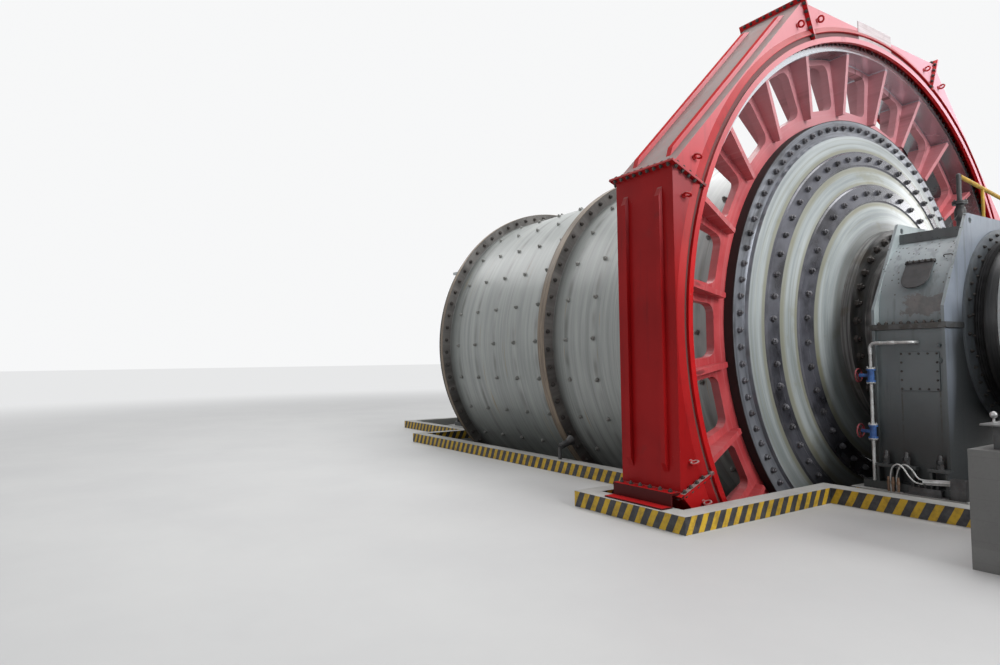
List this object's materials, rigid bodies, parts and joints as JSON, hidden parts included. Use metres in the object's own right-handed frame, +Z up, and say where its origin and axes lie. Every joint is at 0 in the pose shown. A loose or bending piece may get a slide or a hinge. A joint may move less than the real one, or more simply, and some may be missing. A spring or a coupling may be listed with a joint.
{
  "type": "ball mill",
  "caption": "Overflow ball mill: horizontal drum with conical ends and windowed girth gear in two trunnion bearings, with octagonal gear guard, feed chute and discharge hood over a pit.",
  "frame": {"origin": "underside of the foundation raft, straight below the drum axis at the shell's middle flange", "axes": "+X along the drum axis towards the discharge end, +Y towards the pinion, +Z up; the hall floor is at z = 2.491 m and the drum axis at z = 4.329 m"},
  "size_m": [14, 8.6321, 8.193],
  "materials": {
    "concrete": "cast concrete, dusty, kerb faces striped",
    "drum_paint": "pale grey-green paint with grease smudges at the liner bolts",
    "head_paint": "pale paint with dark oily bolt bands",
    "trunnion_steel": "oily dark steel, machined journal",
    "gear_paint": "red paint on the web, greasy rim",
    "guard_paint": "gloss red paint, dusty on top",
    "bearing_paint": "grey-blue machine paint with oil runs",
    "dark_fittings": "dark greasy metal",
    "hood_paint": "light grey machine paint",
    "frame_paint": "grey-blue paint",
    "galvanised_pipe": "galvanised pipe",
    "valve_paint": "blue paint",
    "handwheel_paint": "dark red paint",
    "rail_paint": "yellow paint",
    "bare_plate": "bare light plate",
    "shaft_steel": "turned steel"
  },
  "bodies": {
    "base": {"foundation_raft": "concrete", "pit_wall_near": "concrete", "pit_wall_far": "concrete", "pit_wall_feed_end": "concrete", "pit_wall_discharge_end": "concrete", "feed_pier": "concrete", "discharge_pier": "concrete", "pinion_plinth": "concrete", "feed_bearing_base": "bearing_paint", "feed_bearing_cover": "bearing_paint", "feed_seal_ring": "bearing_paint", "discharge_bearing_base": "bearing_paint", "discharge_bearing_cover": "bearing_paint", "discharge_seal_ring": "bearing_paint", "guard_top": "guard_paint", "guard_upper_near": "guard_paint", "guard_near": "guard_paint", "guard_lower_near": "guard_paint", "guard_bottom": "guard_paint", "guard_lower_far": "guard_paint", "guard_far": "guard_paint", "guard_upper_far": "guard_paint", "guard_lips": "guard_paint", "guard_sign_plate": "bare_plate", "pinion_housing": "guard_paint", "pinion_bearings": "bearing_paint", "pinion_shaft": "shaft_steel", "discharge_hood": "hood_paint", "hood_end_plate": "hood_paint", "feed_chute": "hood_paint", "feed_chute_frame": "frame_paint", "oil_pipe": "galvanised_pipe", "oil_valves": "valve_paint", "valve_handwheels": "handwheel_paint", "bearing_handrail": "rail_paint", "cover_vent": "dark_fittings", "sound_sensor": "dark_fittings", "side_block": "concrete"},
    "drum": {"shell_feed_section": "drum_paint", "shell_discharge_section": "drum_paint", "feed_head": "head_paint", "discharge_head": "head_paint", "feed_trunnion": "trunnion_steel", "discharge_trunnion": "trunnion_steel", "girth_gear": "gear_paint"}
  },
  "joints": [
    {"name": "drum_spin", "type": "hinge", "parent": "base", "child": "drum", "pos_m": [0, 0, 4.329], "axis": [1, 0, 0], "continuous": true}
  ]
}
